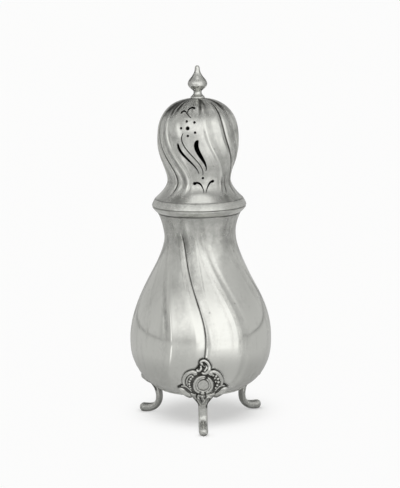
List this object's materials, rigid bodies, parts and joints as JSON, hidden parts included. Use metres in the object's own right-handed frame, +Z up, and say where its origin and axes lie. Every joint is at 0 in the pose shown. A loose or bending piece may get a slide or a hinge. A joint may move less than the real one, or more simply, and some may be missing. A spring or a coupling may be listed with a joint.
{
  "type": "sugar caster",
  "caption": "Footed silver sugar caster: pear body with swirled flutes and a pull-off dome cover pierced for shaking out sugar.",
  "frame": {"origin": "on the upright axis of the body, on the floor under the three toes", "axes": "+Z up along the axis, the front foot towards -Y, +X to the right of the picture"},
  "size_m": [0.0799, 0.0796, 0.1999],
  "materials": {
    "silver": "gloss",
    "silver_wire": "gloss",
    "silver_cast": "gloss",
    "silver_inside": "satin"
  },
  "bodies": {
    "vessel": {"body_shell": "silver", "base_plate": "silver_inside", "neck_rim": "silver_wire", "front_foot": "silver_cast", "left_foot": "silver_cast", "right_foot": "silver_cast"},
    "bezel": {"neck_bezel": "silver_inside"},
    "cover": {"cover_dome": "silver", "cover_rim": "silver_wire", "cover_sleeve": "silver_inside", "finial": "silver_cast", "finial_washer": "silver_inside", "finial_nut": "silver_inside"}
  },
  "joints": [
    {"name": "cover_turn", "type": "hinge", "parent": "vessel", "child": "bezel", "pos_m": [0, 0, 0.122], "axis": [0, 0, 1], "continuous": true},
    {"name": "cover_lift", "type": "slide", "parent": "bezel", "child": "cover", "axis": [0, 0, 1], "range_m": [0, 0.08]}
  ]
}
